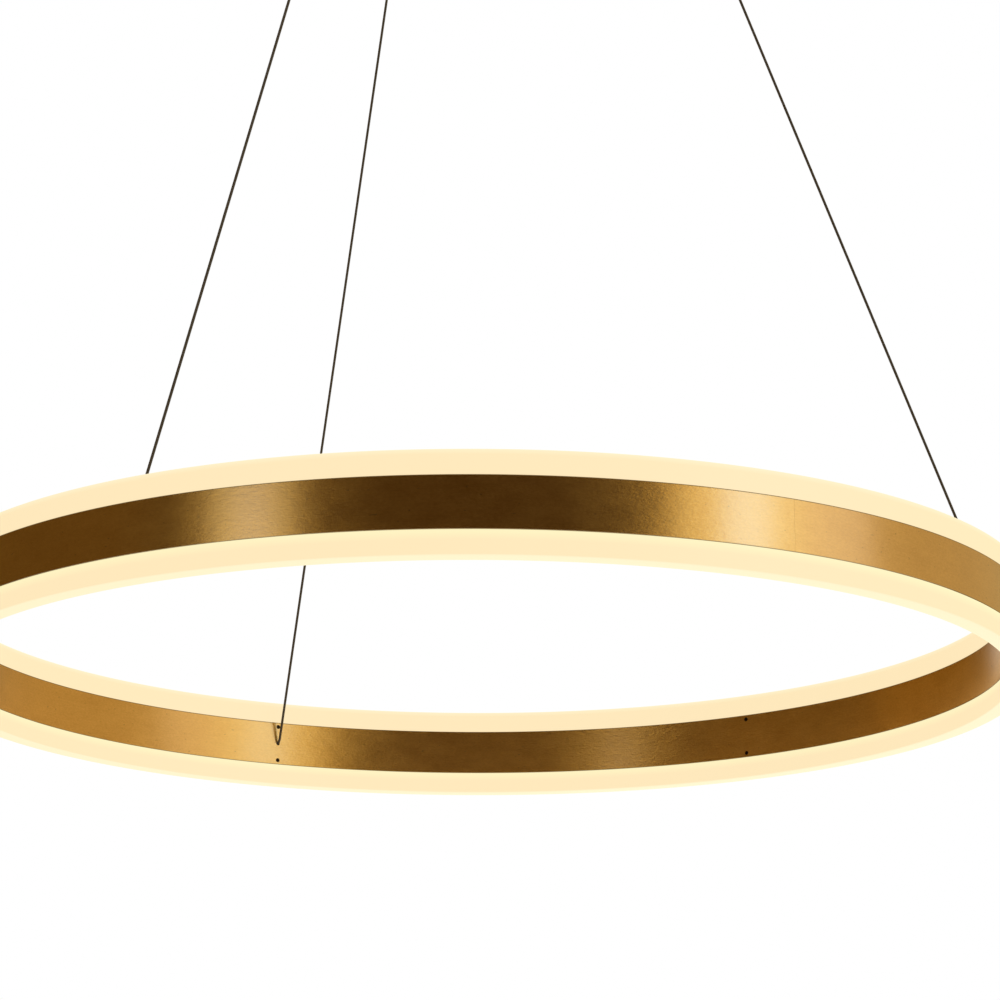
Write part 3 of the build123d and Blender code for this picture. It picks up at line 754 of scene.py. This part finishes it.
class PENDANT_OT_diffusers(bpy.types.Operator):
    """Make the two lit opal rings"""

    bl_idname = "pendant.diffusers"
    bl_label = "Opal rings"

    def execute(self, context):
        ring = context.scene.pendant_ring
        opal = opal_acrylic(context.scene.pendant_looks)
        for name, side in (("upper", 1), ("lower", -1)):
            outline = [(r, side * z) for r, z in self.outline(ring)]
            shape = lathe(f"{name}_opal", [outline], ring_level, ring.segments)
            made = new_object(f"{name}_opal", shape, opal)
            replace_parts(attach(made, "ring"), f"{name}_diffuser")
        return {"FINISHED"}

    def outline(self, ring):
        """The upper opal ring's section: rounded free edges, two legs in the band and a light chamber."""
        outer = ring.radius
        inner = outer - ring.width
        top = half_band + opal_reach
        leg_out = outer - ring.wall - ring.leg_gap
        leg_in = inner + ring.wall + ring.leg_gap
        foot = half_band - ring.leg_depth
        ceiling = top - ring.roof
        cut = ring.edge_break
        right = quarter_round(outer - ring.round, top - ring.round, ring.round, 0)
        left = quarter_round(inner + ring.round, top - ring.round, ring.round, math.pi / 2)
        body = [(outer - cut, half_band), (outer, half_band + cut)] + right + left
        body += [(inner, half_band + cut), (inner + cut, half_band), (leg_in, half_band), (leg_in, foot)]
        body += [(leg_in + ring.leg, foot), (leg_in + ring.leg, ceiling), (leg_out - ring.leg, ceiling)]
        return body + [(leg_out - ring.leg, foot), (leg_out, foot), (leg_out, half_band)]


class PENDANT_OT_cables(bpy.types.Operator):
    """Make the taut cables, and the stretches of them that the grippers hold"""

    bl_idname = "pendant.cables"
    bl_label = "Cables"

    def execute(self, context):
        sizes = context.scene.pendant_cables
        coat = cable_coat(context.scene.pendant_looks)
        for i in cable_numbers:
            turn = cable_turn(sizes, i)
            route = [around(r, turn, z) for r, z in self.route(sizes)]
            line = smooth_line(route)
            shape = tube(f"cable_{i}", line, sizes.diameter / 2, sizes.sides)
            cable = new_object(f"cable_{i}", shape, coat)
            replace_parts(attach(cable, "canopy"), f"suspension_cable_{i}")
            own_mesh(cable)
            held = self.held(i, sizes, coat)
        return {"FINISHED"}

    def route(self, sizes):
        """A cable's points as radius and height: out of the gripper, straight down and out, into the band."""
        bend = Vector((sizes.circle, sizes.mouth - sizes.mouth_bend))
        foot = Vector((sizes.foot, ring_level))
        step = (foot - bend).normalized() * sizes.straight
        turn = foot + Vector(sizes.foot_dip)
        return [(sizes.circle, sizes.mouth), bend, bend + step, foot - step, turn, (sizes.end, ring_level)]

    def held(self, i, sizes, coat):
        """The stretch of a cable in its gripper."""
        low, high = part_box(f"gripped_cable_{i}")
        middle = (low + high) / 2
        ends = [Vector((middle.x, middle.y, z)) for z in (high.z, low.z)]
        shape = tube(f"cable_top_{i}", ends, sizes.diameter / 2, sizes.sides)
        made = new_object(f"cable_top_{i}", shape, coat)
        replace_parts(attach(made, "canopy"), f"gripped_cable_{i}")
        return made


class PENDANT_OT_ring_fittings(bpy.types.Operator):
    """Finish the screws, the light strips and the fittings in the ring"""

    bl_idname = "pendant.ring_fittings"
    bl_label = "Ring fittings"

    def execute(self, context):
        screws = ("upper_diffuser_screws", "lower_diffuser_screws", "splice_screws")
        dress(plain_metal("blackened_steel"), *screws)
        dress(plain_metal("crimp_metal"), "ring_splice", "strip_tails", *each("cable_stop"))
        dress(moulded("strip_mask"), "upper_led_strip", "lower_led_strip")
        dress(moulded("phosphor"), "upper_led_chips", "lower_led_chips")
        return {"FINISHED"}


class PENDANT_OT_grippers(bpy.types.Operator):
    """Finish the cable grippers and wind their springs"""

    bl_idname = "pendant.grippers"
    bl_label = "Grippers"
    wire = 0.0005
    wire_sides = 10
    turns = 5
    steps = 24

    def execute(self, context):
        steel = plain_metal("spring_steel")
        turned = (*each("gripper_stud"), *each("gripper_nut"), *each("gripper_barrel"))
        dress(plain_metal("turned_brass"), *turned)
        dress(plain_metal("bright_brass"), *each("gripper_plunger"))
        dress(steel, *each("gripper_balls"))
        dress(moulded("sleeve_plastic"), *each("cable_end_sleeve"))
        for i in cable_numbers:
            self.spring(i, steel)
        return {"FINISHED"}

    def spring(self, i, steel):
        """One wound spring, in the place and the size of the frame's spring."""
        low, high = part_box(f"gripper_spring_{i}")
        middle = (low + high) / 2
        mean = (high.x - low.x - self.wire) / 2
        rise = high.z - low.z - self.wire
        count = self.turns * self.steps
        heights = [low.z + self.wire / 2 + rise * k / count for k in range(count + 1)]
        line = [Vector((middle.x, middle.y, 0)) + around(mean, full_turn * k / self.steps, z)
                for k, z in enumerate(heights)]
        shape = tube(f"release_spring_{i}", line, self.wire / 2, self.wire_sides)
        made = new_object(f"release_spring_{i}", shape, steel)
        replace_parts(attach(made, "canopy"), f"gripper_spring_{i}")
        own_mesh(made)


class PENDANT_OT_canopy(bpy.types.Operator):
    """Finish the canopy, its bracket and its screws"""

    bl_idname = "pendant.canopy"
    bl_label = "Canopy"
    drill_reach = 4

    def execute(self, context):
        sizes = context.scene.pendant_canopy
        dress(plain_metal("zinc_plate"), "ceiling_bracket", "earth_tag", "earth_screw", "terminal_screws")
        self.shell(context, sizes)
        self.thumbscrews(sizes)
        return {"FINISHED"}

    def shell(self, context, sizes):
        """The cup that hides the wiring, with its holes."""
        # The rim's height, where the canopy's brass gets painted shade
        brass = brushed_brass(context.scene.pendant_looks, "canopy_brass", canopy_high.x, [canopy_high.z])
        shape = lathe("canopy_shell", [self.outline(sizes)], 0.0, sizes.segments)
        made = new_object("canopy_shell", shape, brass)
        drill(made, self.holes(sizes, context.scene.pendant_cables))
        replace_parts(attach(made, "canopy"), "canopy_cover")

    def outline(self, sizes):
        """The shell's section: from the axis under its floor, round its lower edge, over its rim and back."""
        outer = canopy_high.x
        inner = outer - sizes.wall
        top = canopy_high.z
        cut = sizes.rim_break
        middle = (outer - sizes.edge_round, canopy_low.z + sizes.edge_round)
        outside = quarter_round(*middle, sizes.edge_round, -math.pi / 2)
        inside = quarter_round(*middle, sizes.edge_round - sizes.wall, -math.pi / 2)
        rim = [(outer, top - cut), (outer - cut, top), (inner + cut, top), (inner, top - cut)]
        return [(0, canopy_low.z)] + outside + rim + inside[::-1] + [(0, canopy_low.z + sizes.wall)]

    def holes(self, sizes, cables):
        """The grippers' holes in the floor and the thumbscrews' holes in the wall."""
        depth = self.drill_reach * sizes.wall
        floor = canopy_low.z + sizes.wall / 2
        side = canopy_high.x - sizes.wall / 2
        level = (screw_low.z + screw_high.z) / 2
        found = []
        for i in cable_numbers:
            spot = around(cables.circle, cable_turn(cables, i), floor)
            found.append((spot, Vector((0, 0, 1)), sizes.stud_hole, depth))
        for turn in (0, math.pi):
            found.append((around(side, turn, level), around(1, turn, 0), sizes.screw_hole, depth))
        return found

    def thumbscrews(self, sizes):
        """The two thumbscrews, with knurled and dished heads."""
        bm = bmesh.new()
        middle = (screw_low + screw_high) / 2
        for turn in (0, math.pi):
            place = Matrix.Translation(middle) @ Matrix.Rotation(turn, 4, "Z")
            turned_piece(bm, place, self.screw_stations(sizes), sizes.ridges)
        made = new_object("thumbscrews", mesh_from("thumbscrews", bm), plain_metal("thumbscrew_brass"))
        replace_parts(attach(made, "canopy"), "canopy_thumbscrews")

    def screw_stations(self, sizes):
        """A thumbscrew's stations, tip to dish, each a distance, a radius and a depth of knurl."""
        seat = canopy_high.x
        end = screw_high.x
        head = (screw_high.z - screw_low.z) / 2
        cut = sizes.head_edge
        dish = head - sizes.dish_edge
        shank = sizes.shank / 2
        shaft = [(sizes.tip, shank - cut, 0), (sizes.tip + cut, shank, 0), (seat, shank, 0)]
        grip = [(seat, head - cut, 0), (seat + cut, head, sizes.knurl), (end - cut, head, sizes.knurl)]
        face = [(end, head - cut, 0), (end, dish, 0), (end - sizes.dish, dish - sizes.dish, 0)]
        return shaft + grip + face


class PENDANT_OT_wiring(bpy.types.Operator):
    """Finish the driver, the terminal and the leads in the canopy"""

    bl_idname = "pendant.wiring"
    bl_label = "Wiring"
    lead_diameter = 0.0024
    lead_sides = 20
    lid_round = 0.0006
    lid_round_steps = 4
    lid_profile = 0.5
    lid_border = 0.003
    lid_step = 0.0004
    # The feed leads: slot and route, out of the driver and over to a cable's sleeve
    feeds = {
        "feed_lead_positive": ("red_lead", (
            (0.042, 0.0075, -0.0188), (0.048, 0.0075, -0.0188), (0.059, 0.0075, -0.0188),
            (0.065, 0.020, -0.0185), (0.052, 0.042, -0.017), (0.020, 0.062, -0.0155),
            (-0.0311, 0.06825, -0.0135), (-0.0311, 0.06825, -0.0253))),
        "feed_lead_negative": ("black_lead", (
            (0.042, -0.0075, -0.0188), (0.050, -0.0075, -0.0188), (0.059, -0.0074, -0.0184),
            (0.07465, -0.00719, -0.0166), (0.07465, -0.00719, -0.0253))),
    }

    def execute(self, context):
        plastic = moulded("driver_plastic")
        dress(plastic, "driver_case")
        self.lid(plastic)
        dress(moulded("terminal_plastic"), "terminal_block")
        dress(moulded("circuit_board"), "driver_board")
        dress(moulded("component_plastic"), "driver_components")
        dress(moulded("foam_tape"), "mounting_tape")
        dress(moulded("live_lead_insulation"), "live_lead")
        dress(moulded("neutral_lead_insulation"), "neutral_lead")
        dress(earth_insulation(), "earth_lead")
        for node, feed in self.feeds.items():
            self.feed(node, *feed)
        return {"FINISHED"}

    def feed(self, node, slot, route):
        """One feed lead, in an easy curve from the driver to its sleeve."""
        name = node.replace("feed_lead", "feed")
        shape = tube(name, smooth_line(route), self.lead_diameter / 2, self.lead_sides)
        made = new_object(name, shape, moulded(f"{node}_insulation"))
        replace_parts(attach(made, "canopy"), node)

    def lid(self, plastic):
        """The driver's lid, with rounded edges and a shallow panel."""
        low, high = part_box("driver_lid")
        bm = bmesh.new()
        size = Matrix.Diagonal((*(high - low), 1.0))
        bmesh.ops.create_cube(bm, size=1.0, matrix=Matrix.Translation((low + high) / 2) @ size)
        bmesh.ops.bevel(bm, geom=bm.edges[:], offset=self.lid_round, segments=self.lid_round_steps,
                        profile=self.lid_profile, affect="EDGES")
        top = max(bm.faces, key=lambda face: face.calc_center_median().z)
        bmesh.ops.inset_region(bm, faces=[top], thickness=self.lid_border, depth=0.0)
        bmesh.ops.inset_region(bm, faces=[top], thickness=self.lid_step, depth=-self.lid_step)
        made = new_object("driver_cover", mesh_from("driver_cover", bm), plastic)
        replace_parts(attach(made, "canopy"), "driver_lid")


class PENDANT_OT_stage(bpy.types.Operator):
    """Set up the floor, the studio light and the camera"""

    bl_idname = "pendant.stage"
    bl_label = "Stage"
    white = (1.0, 1.0, 1.0)
    floor_size = 120.0
    floor_shade = (0.93, 0.93, 0.92)
    # The share of plain white that the camera sees on the floor
    floor_white = 0.85
    surround_sides = 96
    # The soft panels: name, turn from the camera towards +X, width, elevation of the low edge and of the high
    # edge, all in degrees, then distance and radiance
    panels = (
        ("right_low", 41.2, 9.6, -20.0, 40.0, 2.4, (1.09, 0.86, 0.31)),
        ("right_softbox", 51.5, 10.0, -20.0, 40.0, 2.4, (1.38, 1.78, 2.05)),
        ("right_edge", 60.0, 7.0, -20.0, 40.0, 2.4, (1.08, 0.98, 0.54)),
        ("right_side", 72.0, 17.0, -20.0, 40.0, 2.4, (0.90, 0.84, 0.66)),
        ("right_wall", 111.0, 60.0, -20.0, 40.0, 2.4, (0.475, 0.375, 0.17)),
        ("left_near", -32.8, 4.0, -20.0, 14.5, 1.1, (1.14, 0.93, 0.375)),
        ("left_softbox", -38.3, 7.0, -20.0, 14.5, 1.1, (1.15, 1.18, 0.98)),
        ("left_far", -43.8, 4.0, -20.0, 14.5, 1.1, (1.14, 0.985, 0.445)),
        ("left_wall", -90.0, 56.0, -20.0, 40.0, 1.6, (0.067, 0.042, 0.0095)),
        ("warm_wall", -139.0, 52.0, -20.0, 40.0, 1.6, (0.173, 0.093, 0.0095)),
        ("back_left", -173.0, 16.0, -20.0, 40.0, 2.2, (0.6, 0.58, 0.55)),
        ("back_right", 165.0, 30.0, -20.0, 40.0, 2.2, (0.9, 0.9, 0.9)),
    )

    def execute(self, context):
        stage = context.scene.pendant_stage
        context.scene.view_settings.view_transform = "Standard"
        self.world(context, stage)
        self.floor(stage)
        self.surround(stage)
        for panel in self.panels:
            self.panel(*panel)
        self.camera(context, stage)
        return {"FINISHED"}

    def world(self, context, stage):
        """A soft even fill, seen as white by the camera, in the metal and through clear pieces."""
        world = bpy.data.worlds.new("studio")
        context.scene.world = world
        world.use_nodes = True
        world.node_tree.nodes.clear()
        world.cycles.sampling_method = "NONE"
        root = Shade(world.node_tree)
        camera = root.node("LightPath", None, None, "Is Camera Ray")
        seen = camera.math("MAXIMUM", camera, camera.out("Is Glossy Ray"))
        seen = camera.math("MAXIMUM", seen, camera.out("Is Transmission Ray"))
        strength = stage.fill + (1 - stage.fill) * seen
        sky = root.node("Background", None, {"Color": solid(self.white), "Strength": strength})
        root.node("OutputWorld", None, {"Surface": sky})

    def floor(self, stage):
        """A plain pale floor."""
        bm = bmesh.new()
        bmesh.ops.create_grid(bm, x_segments=1, y_segments=1, size=self.floor_size / 2,
                              matrix=Matrix.Translation((0, 0, stage.floor)))
        material, root = new_material("floor")
        matt = root.node("BsdfDiffuse", None, {"Color": solid(self.floor_shade)})
        white = root.node("Emission", None, {"Color": solid(self.white)})
        seen = self.floor_white * root.node("LightPath", None, None, "Is Camera Ray")
        pale = root.node("MixShader", None, {0: seen, 1: matt, 2: white})
        root.node("OutputMaterial", None, {"Surface": pale})
        new_object("floor", mesh_from("floor", bm), material)

    def surround(self, stage):
        """A dark round wall that only the metal shows."""
        bm = bmesh.new()
        middle = Matrix.Translation((0, 0, stage.floor + stage.surround))
        bmesh.ops.create_cone(bm, cap_ends=False, segments=self.surround_sides, radius1=stage.surround,
                              radius2=stage.surround, depth=2 * stage.surround, matrix=middle)
        material, root = new_material("surround")
        shader = root.node("Emission", None, {"Color": solid(stage.shade)})
        root.node("OutputMaterial", None, {"Surface": shader})
        material.cycles.emission_sampling = "NONE"
        wall = new_object("surround", mesh_from("surround", bm), material)
        wall.visible_camera = False
        wall.visible_diffuse = False
        wall.visible_transmission = False
        wall.visible_shadow = False

    def panel(self, name, turn, width, low, high, distance, radiance):
        """A soft panel that stands round the ring inside the surround and faces it."""
        lamp = bpy.data.lights.new(name, "AREA")
        lamp.shape = "RECTANGLE"
        lamp.size = 2 * distance * math.tan(math.radians(width) / 2)
        bottom = distance * math.tan(math.radians(low))
        top = distance * math.tan(math.radians(high))
        lamp.size_y = top - bottom
        lamp.color = [c / max(radiance) for c in radiance]
        lamp.energy = max(radiance) * math.pi * lamp.size * lamp.size_y
        holder = bpy.data.objects.new(name, lamp)
        bpy.context.scene.collection.objects.link(holder)
        toward = Vector((math.sin(math.radians(turn)), -math.cos(math.radians(turn)), 0.0))
        holder.location = toward * distance + Vector((0, 0, ring_level + (bottom + top) / 2))
        holder.rotation_euler = (-toward).to_track_quat("-Z", "Y").to_euler()
        holder.visible_camera = False

    def camera(self, context, stage):
        """The camera, at the photograph's viewing angle."""
        data = bpy.data.cameras.new("camera")
        data.lens = stage.lens
        camera = bpy.data.objects.new("camera", data)
        context.scene.collection.objects.link(camera)
        turn = Matrix.Rotation(stage.pan, 4, "Z") @ Matrix.Rotation(math.pi / 2 + stage.tilt, 4, "X")
        turn = turn @ Matrix.Rotation(stage.roll, 4, "Z")
        camera.matrix_world = Matrix.Translation(stage.camera) @ turn
        context.scene.camera = camera


class PENDANT_PT_panel(bpy.types.Panel):
    """The pendant's pieces, in the order that they are made"""

    bl_idname = "PENDANT_PT_panel"
    bl_label = "Ring Pendant Light"
    bl_space_type = "VIEW_3D"
    bl_region_type = "UI"
    bl_category = "Pendant"

    def draw(self, context):
        for operator in operators:
            self.layout.operator(operator.bl_idname)
        for group, kind in groups.items():
            settings = getattr(context.scene, group)
            for name in kind.__annotations__:
                self.layout.prop(settings, name)


groups = {"pendant_ring": RingSizes, "pendant_cables": CableSizes, "pendant_canopy": CanopySizes,
          "pendant_looks": Finishes, "pendant_stage": StageSettings}
operators = (PENDANT_OT_stage, PENDANT_OT_cables, PENDANT_OT_band, PENDANT_OT_diffusers,
             PENDANT_OT_ring_fittings, PENDANT_OT_grippers, PENDANT_OT_canopy, PENDANT_OT_wiring)


def register():
    for kind in (*groups.values(), *operators, PENDANT_PT_panel):
        bpy.utils.register_class(kind)
    for name, kind in groups.items():
        setattr(bpy.types.Scene, name, PointerProperty(type=kind))


def unregister():
    for name in groups:
        delattr(bpy.types.Scene, name)
    for kind in (PENDANT_PT_panel, *reversed(operators), *groups.values()):
        bpy.utils.unregister_class(kind)


def main():
    """Make every piece in order."""
    register()
    for operator in operators:
        family, name = operator.bl_idname.split(".")
        getattr(getattr(bpy.ops, family), name)()


if __name__ == "__main__":
    main()
